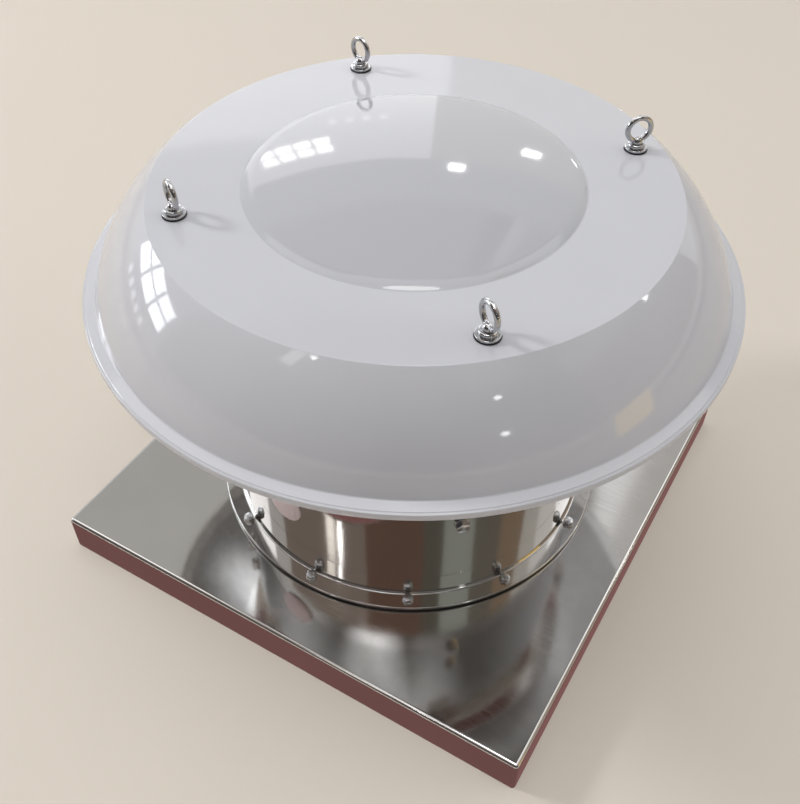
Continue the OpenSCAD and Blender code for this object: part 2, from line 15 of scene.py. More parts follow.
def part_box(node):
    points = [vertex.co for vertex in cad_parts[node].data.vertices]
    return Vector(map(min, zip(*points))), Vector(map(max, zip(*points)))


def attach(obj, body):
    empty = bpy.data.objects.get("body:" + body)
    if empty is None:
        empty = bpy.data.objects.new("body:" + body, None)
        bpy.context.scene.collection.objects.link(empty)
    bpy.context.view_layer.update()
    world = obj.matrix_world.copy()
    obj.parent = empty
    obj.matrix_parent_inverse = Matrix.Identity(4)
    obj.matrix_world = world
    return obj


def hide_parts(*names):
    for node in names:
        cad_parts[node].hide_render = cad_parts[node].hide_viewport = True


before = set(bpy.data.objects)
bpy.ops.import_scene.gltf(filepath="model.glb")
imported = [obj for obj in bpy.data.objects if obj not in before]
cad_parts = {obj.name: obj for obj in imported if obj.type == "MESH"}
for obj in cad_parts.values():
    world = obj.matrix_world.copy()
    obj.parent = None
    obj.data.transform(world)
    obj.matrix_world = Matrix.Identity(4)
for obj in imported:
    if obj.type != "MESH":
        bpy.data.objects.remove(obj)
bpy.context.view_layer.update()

bl_info = {
    "name": "Roof Exhaust Fan",
    "version": (1, 0, 0),
    "blender": (4, 5, 0),
    "location": "View3D > Sidebar > Exhaust Fan",
    "description": "Builds the visible pieces and finishes of a roof exhaust fan around its packed model",
    "category": "Object",
}

MM = 0.001
LIP_TURN = 7 * MM                       # depth of the hood's turned-down edge
DIAGONALS = (45, 135, 225, 315)         # where the stays, eye bolts and bracket arms stand
PREFIX = "exhaust_fan"


def linear(hex_colour):
    """sRGB hex to the linear RGBA that Blender works in."""
    parts = [int(hex_colour[i:i + 2], 16) / 255 for i in (1, 3, 5)]
    return tuple(p / 12.92 if p <= 0.04045 else ((p + 0.055) / 1.055) ** 2.4 for p in parts) + (1.0,)


def top_of(node):
    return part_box(node)[1][2]


def foot_of(node):
    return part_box(node)[0][2]


def radius_of(node):
    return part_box(node)[1][0]


# -------- sizes and colours

def length(name, description, default, low=0.0):
    return FloatProperty(name=name, description=description, default=default, min=low,
                         unit="LENGTH", subtype="DISTANCE", precision=5)


def colour(name, description, hex_colour):
    return FloatVectorProperty(name=name, description=description, default=linear(hex_colour),
                               size=4, min=0.0, max=1.0, subtype="COLOR")


class ExhaustFanSizes(bpy.types.PropertyGroup):
    """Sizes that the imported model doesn't carry by itself."""
    deck_fold: length("Deck fold", "Outside radius of the curb cap's folded edges", 4 * MM)
    deck_sheet: length("Deck sheet", "Sheet thickness of the curb cap", 2 * MM)
    tube_bore: length("Tube bore", "Inside radius of the wind tube", 200 * MM)
    tube_wall: length("Tube wall", "Sheet thickness of the wind tube and flanges", 3 * MM)
    flange_circle: length("Flange bolt circle", "Radius the flange bolts stand on", 211.6 * MM)
    flange_bolts: IntProperty(name="Flange bolts", description="Bolts through the lower flange",
                              default=12, min=4)
    hood_wall: length("Hood wall", "Thickness of the moulded hood", 4 * MM)
    lip_width: length("Lip width", "How far the lip stands out from the body", 12.6 * MM)
    lip_rise: length("Lip rise", "Fall of the lip from the body to its edge", 3 * MM)
    body_inset: length("Body inset", "From the body's foot in to the crown's edge", 62 * MM)
    body_bulge: length("Body bulge", "Outward bulge of the body", 8 * MM)
    crown_width: length("Crown width", "Width of the level ring round the dome", 89.5 * MM)
    dome_height: length("Dome height", "Height of the dome above the ring", 16.5 * MM)
    shoulder_width: length("Shoulder width", "Width of the steeper band round the dome", 12 * MM)
    shoulder_rise: length("Shoulder rise", "Height of the steeper band round the dome", 4 * MM)
    hood_rise: length("Hood rise", "From the lip's edge up to the level ring", 90.5 * MM)
    crease: length("Crease", "Radius of the crease between ring and body", 1.6 * MM)
    dome_crease: length("Dome crease", "Radius of the crease round the dome's foot", 3 * MM)
    shoulder_bulge: length("Shoulder bulge", "How far the shoulder bulges from straight", 0.44 * MM)
    body_foot: length("Body foot", "Radius of the cove between body and lip", 2.2 * MM)
    eye_circle: length("Eye bolt circle", "Radius the eye bolts stand on", 224.4 * MM)
    eye_ring: length("Eye ring", "Outside radius of a lifting ring", 14.5 * MM)
    eye_bar: length("Eye bar", "Radius of a lifting ring's round bar", 2.75 * MM)


class ExhaustFanColours(bpy.types.PropertyGroup):
    """Base colours of the finishes."""
    gelcoat: colour("Gelcoat", "Outside of the hood", "#cfcfd4")
    laminate: colour("Glass-fibre laminate", "Inside of the hood", "#cfd1d4")
    stainless: colour("Stainless sheet", "Curb cap, wind tube and brackets", "#c6c4c2")
    fastener: colour("Stainless fasteners", "Bolts, nuts and washers", "#c2c2c3")
    forging: colour("Polished forging", "Lifting eyes", "#bcbcbe")
    rubber: colour("Rubber", "Gasket and sealing washers", "#16161a")
    nylon: colour("Nylon", "Cable entry plug", "#d3c1c2")
    enamel: colour("Motor enamel", "Motor castings", "#4f565c")
    copper: colour("Enamelled copper", "Windings", "#a65a2c")
    electrical: colour("Electrical steel", "Stator and rotor stacks", "#8d8c8a")
    aluminium: colour("Aluminium", "Hub, blades and rotor rings", "#cfd0d2")
    shaft: colour("Ground steel", "Shaft, key and bearings", "#b3b3b6")
    polyamide: colour("Polyamide", "Cable gland", "#131314")
    floor: colour("Floor", "Studio floor", "#e2d8cc")


def sizes():
    return bpy.context.scene.exhaust_fan_sizes


def dome_foot_radius():
    s = sizes()
    return radius_of("hood") - s.lip_width - s.body_inset - s.crown_width


def colours():
    return bpy.context.scene.exhaust_fan_colours


# -------- materials

def add_node(tree, kind, inputs=None, **settings):
    """Adds one node. inputs maps a socket to a value, or to another node's output to link."""
    node = tree.nodes.new(kind)
    for key, value in settings.items():
        setattr(node, key, value)
    for socket, value in (inputs or {}).items():
        if isinstance(value, bpy.types.NodeSocket):
            tree.links.new(value, node.inputs[socket])
        else:
            node.inputs[socket].default_value = value
    return node


def blend(tree, share, first, second):
    """Two shaders mixed: none of the second where share is 0, all of it where share is 1."""
    return add_node(tree, "ShaderNodeMixShader",
                    {0: share, 1: first, 2: second}).outputs["Shader"]


class Surface:
    """A material in the making: one Principled shader and the patterns that drive it."""

    def __init__(self, name, constants):
        """constants are the shader's plain values, by socket name."""
        self.material = bpy.data.materials.new(name)
        self.material.use_nodes = True
        self.tree = self.material.node_tree
        self.tree.nodes.clear()
        self.shader = add_node(self.tree, "ShaderNodeBsdfPrincipled", constants)
        self.output = add_node(self.tree, "ShaderNodeOutputMaterial",
                               {"Surface": self.shader.outputs["BSDF"]})
        self.where = add_node(self.tree, "ShaderNodeTexCoord").outputs["Object"]

    def node(self, kind, inputs=None, **settings):
        return add_node(self.tree, kind, inputs, **settings)

    def drive(self, socket, output):
        self.tree.links.new(output, self.shader.inputs[socket])

    def noise(self, scale, detail, **more):
        """Cloudy pattern, with scale clouds to the metre."""
        return self.node("ShaderNodeTexNoise", {"Vector": self.where, "Scale": scale,
                                                "Detail": detail, **more}).outputs["Fac"]

    def maths(self, operation, a, b):
        return self.node("ShaderNodeMath", {0: a, 1: b}, operation=operation).outputs["Value"]

    def ramp(self, pattern, low, high, start=0.0, end=1.0):
        """Runs from low to high while the pattern runs from start to end."""
        return self.node("ShaderNodeMapRange", {"Value": pattern, "From Min": start, "From Max": end,
                                                "To Min": low, "To Max": high}).outputs["Result"]

    def mix(self, pattern, dark, light):
        """A colour that runs from dark to light with the pattern."""
        return self.node("ShaderNodeMix", {0: pattern, 6: dark, 7: light},
                         data_type="RGBA").outputs[2]

    def bump(self, height, strength, depth_mm, over=None):
        """Raises the surface by a pattern, on top of the bump given as over."""
        bump = self.node("ShaderNodeBump", {"Height": height, "Strength": strength,
                                            "Distance": depth_mm * MM})
        if over is not None:
            self.tree.links.new(over, bump.inputs["Normal"])
        self.drive("Normal", bump.outputs["Normal"])
        return bump.outputs["Normal"]


def shade(rgba, factor):
    return tuple(min(c * factor, 1.0) for c in rgba[:3]) + (1.0,)


def gelcoat_moulded(rgba, dome_painted_shade=0.82):
    """Polyester gelcoat off a polished mould: high gloss, with the faint waviness of glass print."""
    skin = Surface("polyester gelcoat, moulded", {"IOR": 1.5, "Roughness": 0.06})
    # cloudy change of tone, about 90 mm across
    tone = skin.mix(skin.noise(11.0, 2.0), shade(rgba, 0.965), shade(rgba, 1.03))
    # painted shade: the whole dome is painted 18 per cent darker than the ring round it, in place of the
    # shade that the light lays on it
    level = skin.node("ShaderNodeVectorMath", {0: skin.where, 1: (1.0, 1.0, 0.0)}, operation="MULTIPLY")
    radius = skin.node("ShaderNodeVectorMath", {0: level.outputs["Vector"]}, operation="LENGTH")
    foot = dome_foot_radius()
    painted_shade_on_dome = skin.ramp(radius.outputs["Value"], 1.0, 0.0, foot, foot + 2 * MM)
    skin.drive("Base Color", skin.mix(painted_shade_on_dome, tone, shade(rgba, dome_painted_shade)))
    # print-through of the glass strands, 14 mm apart, over slow waves; the polish follows the strands
    strand = skin.noise(70.0, 3.0)
    skin.drive("Roughness", skin.ramp(strand, 0.04, 0.08))
    skin.bump(skin.maths("ADD", skin.noise(22.0, 1.0), strand), 0.05, 0.3)
    return skin.material


def glass_fibre_laminate(rgba):
    """Chopped-strand mat under rolled resin: matt, with a tangle of pale strands 50 mm long."""
    skin = Surface("glass-fibre laminate, hand laid", {"IOR": 1.52, "Roughness": 0.5})
    strands = None
    for turn in (0.0, 1.05, 2.2):
        laid = skin.node("ShaderNodeMapping", {"Vector": skin.where, "Rotation": (0.3, turn / 3, turn),
                                               "Scale": (20.0, 260.0, 120.0)})
        layer = skin.noise(1.0, 2.0, Vector=laid.outputs["Vector"], Distortion=0.6)
        strands = layer if strands is None else skin.maths("MAXIMUM", strands, layer)
    sharp = skin.ramp(strands, 0.0, 1.0, 0.5, 0.72)
    skin.drive("Base Color", skin.mix(sharp, shade(rgba, 0.72), shade(rgba, 1.12)))
    skin.drive("Roughness", skin.ramp(sharp, 0.35, 0.6))
    skin.bump(sharp, 0.5, 0.4)
    return skin.material


def sheet_metal(name, rgba, grain_mm, low, high, stretch, buckle_mm=0.0):
    """Rolled or brushed sheet: fine lines along one axis, and a slow buckle that bends reflections.

    low and high bound the roughness. stretch is how much longer a line is than it is wide, along
    X, Y and Z.
    """
    skin = Surface(name, {"Metallic": 1.0, "Roughness": low})
    per_line = 1.0 / (grain_mm * MM)
    lines = skin.node("ShaderNodeMapping",
                      {"Vector": skin.where, "Scale": tuple(per_line / s for s in stretch)})
    grain = skin.noise(1.0, 2.0, Vector=lines.outputs["Vector"])
    # smears of handling and rolling, about 150 mm across
    smear = skin.noise(6.5, 3.0, Roughness=0.6)
    skin.drive("Base Color", skin.mix(smear, shade(rgba, 0.90), shade(rgba, 1.06)))
    skin.drive("Roughness", skin.ramp(skin.maths("MULTIPLY", grain, smear), low, high, 0.1, 0.45))
    fine = skin.bump(grain, 0.08, 0.05)
    if buckle_mm:
        skin.bump(skin.noise(7.0, 0.0), 1.0, buckle_mm, over=fine)
    return skin.material


def turned_metal(name, rgba, low, high, mark_mm=0.8, strength=0.05):
    """Machined, cast, cold-headed or ground metal: small marks in the polish."""
    skin = Surface(name, {"Metallic": 1.0, "Roughness": low})
    mark = skin.noise(1.0 / (mark_mm * MM), 3.0)
    skin.drive("Roughness", skin.ramp(mark, low, high))
    skin.drive("Base Color", skin.mix(mark, shade(rgba, 0.9), shade(rgba, 1.05)))
    skin.bump(mark, strength, 0.05)
    return skin.material


def banded_metal(name, constants, rgba, gap_tone, scale, strength, depth_mm, distortion=0.0, **wave):
    """Metal in layers or turns: bright bands with darker gaps."""
    skin = Surface(name, constants)
    bands = skin.node("ShaderNodeTexWave", {"Vector": skin.where, "Scale": scale,
                                            "Distortion": distortion}, **wave).outputs["Fac"]
    skin.drive("Base Color", skin.mix(bands, shade(rgba, gap_tone), tuple(rgba)))
    skin.bump(bands, strength, depth_mm)
    return skin.material


def moulded(name, rgba, roughness, grit_mm, depth_mm, ior=1.5):
    """Moulded, cast or sprayed surface: a nearly even tone over fine grit."""
    skin = Surface(name, {"IOR": ior, "Roughness": roughness})
    dust = skin.noise(25.0, 3.0)
    skin.drive("Base Color", skin.mix(dust, shade(rgba, 0.88), shade(rgba, 1.12)))
    skin.drive("Roughness", skin.ramp(dust, roughness * 0.85, roughness * 1.25))
    skin.bump(skin.noise(1.0 / (grit_mm * MM), 4.0), 0.4, depth_mm)
    return skin.material


def make_finishes():
    """Every finish, by the name that the pieces ask for it."""
    c = colours()
    return {
        "gelcoat": gelcoat_moulded(c.gelcoat),
        "laminate": glass_fibre_laminate(c.laminate),
        # bright rolled sheet with a light polish along X: reflections smear across the lines
        "deck": sheet_metal("stainless sheet, bright rolled and polished", c.stainless,
                            1.2, 0.05, 0.12, (60, 1, 1), buckle_mm=1.6),
        # the tube is polished round its girth before it is rolled up
        "tube": sheet_metal("stainless sheet, polished and rolled", c.stainless,
                            1.0, 0.04, 0.09, (30, 30, 1), buckle_mm=0.4),
        # mill finish: duller than the polished sheet
        "bracket": sheet_metal("stainless bar, mill finish", c.stainless, 0.8, 0.28, 0.42, (1, 1, 12)),
        # cold-headed bolts keep a dull bright skin with small tool marks
        "fastener": turned_metal("stainless steel, cold headed", c.fastener, 0.16, 0.3),
        # polished forging: nearly a mirror, with soft pits
        "forging": turned_metal("stainless steel, forged and polished", c.forging,
                                0.05, 0.12, mark_mm=2.5, strength=0.03),
        # ground bar: an even, fine sheen
        "shaft": turned_metal("carbon steel, ground", c.shaft, 0.18, 0.3, mark_mm=0.6),
        # punched laminations stacked along the shaft: grey bands 2 mm apart
        "electrical": banded_metal(
            "electrical steel, stacked laminations", {"Metallic": 1.0, "Roughness": 0.45},
            c.electrical, 0.55, 1000 / (2 * pi), 0.4, 0.2, wave_type="BANDS", bands_direction="Z"),
        # enamelled wire wound in rings 3 mm apart and varnished: copper under a clear gloss
        "copper": banded_metal(
            "enamelled copper wire, wound",
            {"Metallic": 0.6, "Roughness": 0.3, "Coat Weight": 0.5, "Coat Roughness": 0.15},
            c.copper, 0.35, 100.0, 0.8, 0.5, 1.5, wave_type="RINGS", rings_direction="Z"),
        # cast and machined: soft grey with small dents
        "aluminium": turned_metal("aluminium, cast and machined", c.aluminium, 0.3, 0.45,
                                  mark_mm=1.2, strength=0.2),
        # rolled plate: a satin sheen with fine lines
        "blade": sheet_metal("aluminium plate, rolled", c.aluminium, 1.0, 0.25, 0.4, (1, 20, 20)),
        # carbon-filled rubber: matt and slightly dusty
        "rubber": moulded("EPDM rubber, moulded", c.rubber, 0.62, 1.2, 0.10),
        # nylon off a plain mould: a soft sheen between gloss and matt
        "nylon": moulded("nylon, injection moulded", c.nylon, 0.34, 1.5, 0.04, ior=1.53),
        # enamel over a sand casting: pebbled, half gloss
        "enamel": moulded("enamel on cast aluminium", c.enamel, 0.38, 1.6, 0.18),
        # black moulding: nearly matt, with fine grit
        "polyamide": moulded("polyamide, moulded black", c.polyamide, 0.45, 0.8, 0.05),
    }


FINISHES = {}


def finish(name):
    if not FINISHES:
        FINISHES.update(make_finishes())
    return FINISHES[name]


# -------- mesh helpers

def fillet(corners, closed=False, steps=5):
    """A profile with rounded corners. corners are (x, z, radius, tag); tag goes with the run after."""
    out = []
    count = len(corners)
    for i, (x, z, radius, tag) in enumerate(corners):
        here = Vector((x, z))
        if radius <= 0 or (not closed and i in (0, count - 1)):
            out.append((x, z, tag))
            continue
        before = corners[i - 1]
        to_before = Vector(before[:2]) - here
        to_after = Vector(corners[(i + 1) % count][:2]) - here
        angle = to_before.angle(to_after)
        reach = min(radius / tan(angle / 2), 0.48 * to_before.length, 0.48 * to_after.length)
        radius = reach * tan(angle / 2)
        a, b = to_before.normalized(), to_after.normalized()
        centre = here + (a + b).normalized() * (radius / sin(angle / 2))
        start = here + a * reach - centre
        sweep = pi - angle
        turn = 1 if a.x * b.y - a.y * b.x < 0 else -1
        for k in range(steps + 1):
            t = turn * sweep * k / steps
            out.append((centre.x + start.x * cos(t) - start.y * sin(t),
                        centre.y + start.x * sin(t) + start.y * cos(t), tag))
    return out


def lathe(bm, profile, sectors, closed=False, place=Matrix()):
    """Turns a profile of (radius, z, material index) about Z into bm."""
    rings = []
    for r, z, _ in profile:
        if r < 1e-7:
            rings.append([bm.verts.new(place @ Vector((0, 0, z)))])
        else:
            rings.append([bm.verts.new(place @ Vector((r * cos(2 * pi * k / sectors),
                                                       r * sin(2 * pi * k / sectors), z)))
                          for k in range(sectors)])
    pairs = list(zip(range(len(rings)), range(1, len(rings))))
    if closed:
        pairs.append((len(rings) - 1, 0))
    for i, j in pairs:
        a, b = rings[i], rings[j]
        for k in range(sectors):
            n = (k + 1) % sectors
            if len(a) == 1:
                face = (a[0], b[n], b[k])
            elif len(b) == 1:
                face = (a[k], a[n], b[0])
            else:
                face = (a[k], a[n], b[n], b[k])
            bm.faces.new(face).material_index = profile[i][2]


def hexagon(angle, across_flats):
    """Radius of a hexagon at an angle, flats facing along X."""
    local = (angle + pi / 6) % (pi / 3) - pi / 6
    return across_flats / 2 / cos(local)


def hex_head(bm, across_flats, low, high, place, sectors=48):
    """Hexagon head with its upper corners turned off at 30 degrees."""
    flat_r = across_flats / 2 * 0.97
    columns = []
    for k in range(sectors):
        angle = 2 * pi * k / sectors
        r = hexagon(angle, across_flats)
        drop = (r - flat_r) * tan(radians(30))
        levels = ((0, low), (flat_r, low), (r, low), (r, high - drop), (flat_r, high), (0, high))
        columns.append([bm.verts.new(place @ Vector((q * cos(angle), q * sin(angle), z)))
                        for q, z in levels])
    for k in range(sectors):
        a, b = columns[k], columns[(k + 1) % sectors]
        for i in range(len(a) - 1):
            bm.faces.new((a[i], b[i], b[i + 1], a[i + 1]))


def threaded_rod(bm, radius, low, high, place, pitch):
    """Round shank with chamfered ends and a groove for each turn of its thread."""
    chamfer, depth = 0.5 * MM, 0.54 * pitch
    profile = [(0, high, 0), (radius - chamfer, high, 0), (radius, high - chamfer, 0)]
    z = high - chamfer
    while z - pitch > low + chamfer:
        profile += [(radius - depth, z - pitch / 2, 0), (radius, z - pitch, 0)]
        z -= pitch
    profile += [(radius, low + chamfer, 0), (radius - chamfer, low, 0), (0, low, 0)]
    lathe(bm, profile, 24, place=place)


def disc_ring(bm, outer, inner, low, high, place, edge=0.3 * MM):
    """Washer with softened edges."""
    lathe(bm, fillet([(inner, low, 0, 0), (outer, low, edge, 0), (outer, high, edge, 0),
                      (inner, high, edge, 0)], closed=True, steps=3), 48, closed=True, place=place)


def bridge(bm, a, b):
    """A band of faces between two loops with as many vertices."""
    for k in range(len(a)):
        n = (k + 1) % len(a)
        bm.faces.new((a[k], a[n], b[n], b[k]))


def mesh_of(bm, name):
    mesh = bpy.data.meshes.new(name)
    bm.to_mesh(mesh)
    bm.free()
    return mesh


def add_object(name, data):
    thing = bpy.data.objects.new(name, data)
    bpy.context.scene.collection.objects.link(thing)
    return thing


def put_on(bm, name, finishes, body, replaced, sharp=35, weighted=True):
    """Turns bm into a piece: cleaned, shaded, finished, riding on its body."""
    bmesh.ops.remove_doubles(bm, verts=bm.verts, dist=1e-6)
    bmesh.ops.recalc_face_normals(bm, faces=bm.faces)
    mesh = mesh_of(bm, name)
    for item in finishes:
        mesh.materials.append(finish(item))
    put_mesh_on(mesh, name, body, replaced, sharp, weighted)


def put_mesh_on(mesh, name, body, replaced, sharp, weighted):
    """Makes a finished mesh a piece that rides on its body. Several pieces can share one mesh."""
    piece = add_object(name, mesh)
    mesh.shade_smooth()
    mesh.set_sharp_from_angle(angle=radians(sharp))
    if weighted:
        piece.modifiers.new("even shading", "WEIGHTED_NORMAL").keep_sharp = True
    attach(piece, body)
    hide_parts(*replaced)
    return piece


def at(angle_deg, radius, z=0.0, turn_deg=0.0):
    """A place on a circle round the fan axis, facing outward, turned about its own Z."""
    return (Matrix.Rotation(radians(angle_deg), 4, "Z") @ Matrix.Translation((radius, 0, z))
            @ Matrix.Rotation(radians(turn_deg), 4, "Z"))


def outward(angle_deg, radius, z):
    """A place on the tube wall whose own Z points outward."""
    return at(angle_deg, radius, z) @ Matrix.Rotation(pi / 2, 4, "Y")


# -------- pieces

class EXHAUST_FAN_OT_curb_cap(bpy.types.Operator):
    """Square curb cap: a deck with folded edges over a plain skirt"""
    bl_idname = PREFIX + ".curb_cap"
    bl_label = "Curb cap"

    def outline(self, half, corner, corner_steps=8, side_steps=24):
        """Rounded square, counter-clockwise, with the same number of points for any radius."""
        points = []
        run = half - corner
        for quarter in range(4):
            for k in range(corner_steps + 1):
                a = (quarter + k / corner_steps) * pi / 2
                cx = run if quarter in (0, 3) else -run
                cy = run if quarter in (0, 1) else -run
                points.append((cx + corner * cos(a), cy + corner * sin(a)))
            # points along the next straight side, so that the deck's faces stay narrow
            a = (quarter + 1) * pi / 2
            start = Vector(points[-1])
            nx, ny = -sin(a), cos(a)
            for k in range(1, side_steps):
                along = 2 * run * k / side_steps
                points.append((start.x + nx * along, start.y + ny * along))
        return points

    def shell(self, bm, half, corner, height, hole):
        """One skin of the cap: skirt, folded edge and deck, down to the hole."""
        fold_steps, margin, least = 6, 1.2 * MM, 0.02 * MM
        levels = [(half, corner, 0.0), (half, corner, height * 0.5)]
        for k in range(fold_steps + 1):
            a = k / fold_steps * pi / 2
            levels.append((half - corner * (1 - cos(a)), max(corner * cos(a), least),
                           height - corner + corner * sin(a)))
        levels.append((half - corner - margin, least, height))
        rings = [[bm.verts.new((x, y, z)) for x, y in self.outline(h, c)] for h, c, z in levels]
        # the outline drawn in to the round hole
        deck = rings[-1]
        for radius in (hole + margin, hole):
            rings.append([bm.verts.new((radius * v.co.x / hypot(v.co.x, v.co.y),
                                        radius * v.co.y / hypot(v.co.x, v.co.y), height))
                          for v in deck])
        for a, b in zip(rings, rings[1:]):
            bridge(bm, a, b)
        return rings[0], rings[-1]

    def execute(self, context):
        s = sizes()
        half, height = radius_of("base_plate"), top_of("base_plate")
        bm = bmesh.new()
        outer = self.shell(bm, half, s.deck_fold, height, s.tube_bore)
        inner = self.shell(bm, half - s.deck_sheet, s.deck_fold - s.deck_sheet,
                           height - s.deck_sheet, s.tube_bore)
        for a, b in zip(outer, inner):
            bridge(bm, a, b)
        put_on(bm, "curb_cap", ["deck"], "housing", ["base_plate"], sharp=50)
        return {"FINISHED"}


class EXHAUST_FAN_OT_wind_tube(bpy.types.Operator):
    """Wind tube with its two welded flanges, and the gasket under it"""
    bl_idname = PREFIX + ".wind_tube"
    bl_label = "Wind tube"

    def execute(self, context):
        s = sizes()
        low, high = foot_of("lower_flange"), top_of("upper_flange")
        rim, bore, wall = radius_of("lower_flange"), s.tube_bore, s.tube_wall
        edge, root = 0.9 * MM, 3.0 * MM
        profile = fillet([
            (bore, low, edge, 0), (rim, low, edge, 0), (rim, low + wall, edge, 0),
            (bore + wall, low + wall, root, 0), (bore + wall, (low + high) / 2, 0, 0),
            (bore + wall, high - wall, root, 0), (rim, high - wall, edge, 0),
            (rim, high, edge, 0), (bore, high, edge, 0), (bore, (low + high) / 2, 0, 0)],
            closed=True)
        bm = bmesh.new()
        lathe(bm, profile, 256, closed=True)
        put_on(bm, "wind_tube_welded", ["tube"], "housing",
               ["wind_tube", "lower_flange", "upper_flange"], sharp=50)
        rim, low, high = radius_of("flange_gasket"), foot_of("flange_gasket"), top_of("flange_gasket")
        bm = bmesh.new()
        lathe(bm, fillet([(bore, low, 0.2 * MM, 0), (rim, low, 0.6 * MM, 0),
                          (rim, high, 0.6 * MM, 0), (bore, high, 0.2 * MM, 0)], closed=True),
              192, closed=True)
        put_on(bm, "gasket", ["rubber"], "housing", ["flange_gasket"])
        return {"FINISHED"}


class EXHAUST_FAN_OT_hood(bpy.types.Operator):
    """Weather hood: lip, bulged body, level ring and low dome, in one moulding"""
    bl_idname = PREFIX + ".hood"
    bl_label = "Hood"

    def face(self, offset, tag):
        """One face of the moulding from the top of the dome out to the foot of the body."""
        s = sizes()
        lip_r = radius_of("hood")
        lip_z = foot_of("hood") + LIP_TURN
        body_r, body_z = lip_r - s.lip_width, lip_z + s.lip_rise
        crown_r, crown_z = body_r - s.body_inset, lip_z + s.hood_rise
        dome_r = dome_foot_radius()
        cap_r, cap_rise = dome_r - s.shoulder_width, s.dome_height - s.shoulder_rise
        sphere = (cap_r ** 2 + cap_rise ** 2) / (2 * cap_rise)
        rise, chord = crown_z - body_z, hypot(s.body_inset, crown_z - body_z)
        arc = (chord ** 2 / 4 + s.body_bulge ** 2) / (2 * s.body_bulge)
        arc_x = (body_r + crown_r) / 2 - (arc - s.body_bulge) * rise / chord
        arc_z = (body_z + crown_z) / 2 - (arc - s.body_bulge) * s.body_inset / chord

        # dome: a low cap that steepens over its shoulder and meets the ring in a crease
        apex = crown_z + s.dome_height - offset
        points = []
        cap_steps, shoulder_steps, body_steps = 24, 10, 32
        for k in range(cap_steps + 1):
            r = cap_r * k / cap_steps
            points.append((r, apex - sphere + sqrt(sphere ** 2 - r * r), 0, tag))
        slope = hypot(s.shoulder_width, s.shoulder_rise)
        for k in range(1, shoulder_steps):
            t = k / shoulder_steps
            bulge = s.shoulder_bulge * 4 * t * (1 - t) / slope
            points.append((cap_r + s.shoulder_width * t + s.shoulder_rise * bulge,
                           crown_z - offset + s.shoulder_rise * (1 - t) + s.shoulder_width * bulge,
                           0, tag))
        points.append((dome_r, crown_z - offset, s.dome_crease, tag))
        # body: from the crease down the bulged arc
        reach = arc - offset
        top_r = arc_x + sqrt(reach ** 2 - (crown_z - offset - arc_z) ** 2)
        points.append((top_r, crown_z - offset, max(s.crease - offset, 0.4 * MM), tag))
        first = atan2(crown_z - offset - arc_z, top_r - arc_x)
        last = atan2(body_z - offset - arc_z,
                     sqrt(max(reach ** 2 - (body_z - offset - arc_z) ** 2, 0)))
        for k in range(1, body_steps + 1):
            a = first + (last - first) * k / body_steps
            points.append((arc_x + reach * cos(a), arc_z + reach * sin(a), 0, tag))
        points[-1] = points[-1][:2] + (s.body_foot, tag)
        return points, lip_r, lip_z

    def execute(self, context):
        s = sizes()
        outer, lip_r, lip_z = self.face(0.0, 0)
        inner, _, _ = self.face(s.hood_wall, 1)
        wall, lip_low = s.hood_wall, foot_of("hood")
        # a shallow step just inside the lip's edge, then the turned-down edge
        step_in, step_out, step_rise = lip_r - 3.2 * MM, lip_r - 2.4 * MM, 0.7 * MM
        edge, under_edge, root = 1.3 * MM, 1.1 * MM, 1.5 * MM
        lip = [(step_in, lip_z + step_rise, 0.8 * MM, 0), (step_out, lip_z + 0.05 * MM, 0.4 * MM, 0),
               (lip_r, lip_z - 0.1 * MM, edge, 0), (lip_r, lip_low, under_edge, 1),
               (lip_r - wall, lip_low, under_edge, 1), (lip_r - wall, lip_z - wall, root, 1)]
        bm = bmesh.new()
        lathe(bm, fillet(outer + lip + inner[::-1], steps=6), 320)
        put_on(bm, "weather_hood", ["gelcoat", "laminate"], "housing", ["hood"],
               sharp=60)
        return {"FINISHED"}


class EXHAUST_FAN_OT_bolts(bpy.types.Operator):
    """Flange bolts, bracket bolts and stay bolts, each head turned as it was left by the spanner"""
    bl_idname = PREFIX + ".bolts"
    bl_label = "Bolts"

    # shank radius, width across the flats, head height, washer radius and thickness, thread pitch
    m6 = (3 * MM, 10 * MM, 4 * MM, 6 * MM, 1.2 * MM, 1.0 * MM)
    m8 = (4 * MM, 13 * MM, 5.3 * MM, 8 * MM, 1.6 * MM, 1.25 * MM)
    bracket_rows = (18 * MM, 58 * MM)       # heights over the motor plate's foot
    bracket_grip = 16.4 * MM
    stay_foot = 4 * MM                      # thickness of a stay's foot on the upper flange

    def bolt_set(self, node, size, grip, places):
        """One piece of hexagon bolts on plain washers; each place's origin is a washer's seat."""
        shank, flats, head, washer_r, washer_t, pitch = size
        bm = bmesh.new()
        for place in places:
            disc_ring(bm, washer_r, shank, 0, washer_t, place)
            hex_head(bm, flats, washer_t, washer_t + head, place)
            threaded_rod(bm, shank, -grip, washer_t + 0.5 * MM, place, pitch)
        put_on(bm, node[:-1] + "_set", ["fastener"], "housing", [node],
               weighted=False)

    def execute(self, context):
        s = sizes()
        spanner = Random(11)
        seat = top_of("lower_flange")
        self.bolt_set("flange_bolts", self.m6, seat - foot_of("flange_bolts"), [
            at(360 * i / s.flange_bolts, s.flange_circle, seat, spanner.uniform(0, 60))
            for i in range(s.flange_bolts)])

        wall_r, foot = s.tube_bore + s.tube_wall, foot_of("motor_plate")
        self.bolt_set("bracket_bolts", self.m8, self.bracket_grip, [
            outward(angle, wall_r, foot + row)
            @ Matrix.Rotation(radians(spanner.uniform(0, 60)), 4, "Z")
            for angle in DIAGONALS for row in self.bracket_rows])

        seat = top_of("upper_flange") + self.stay_foot
        self.bolt_set("stay_bolts", self.m8, seat - foot_of("stay_bolts"), [
            at(angle, s.flange_circle, seat, spanner.uniform(0, 60)) for angle in DIAGONALS])
        return {"FINISHED"}


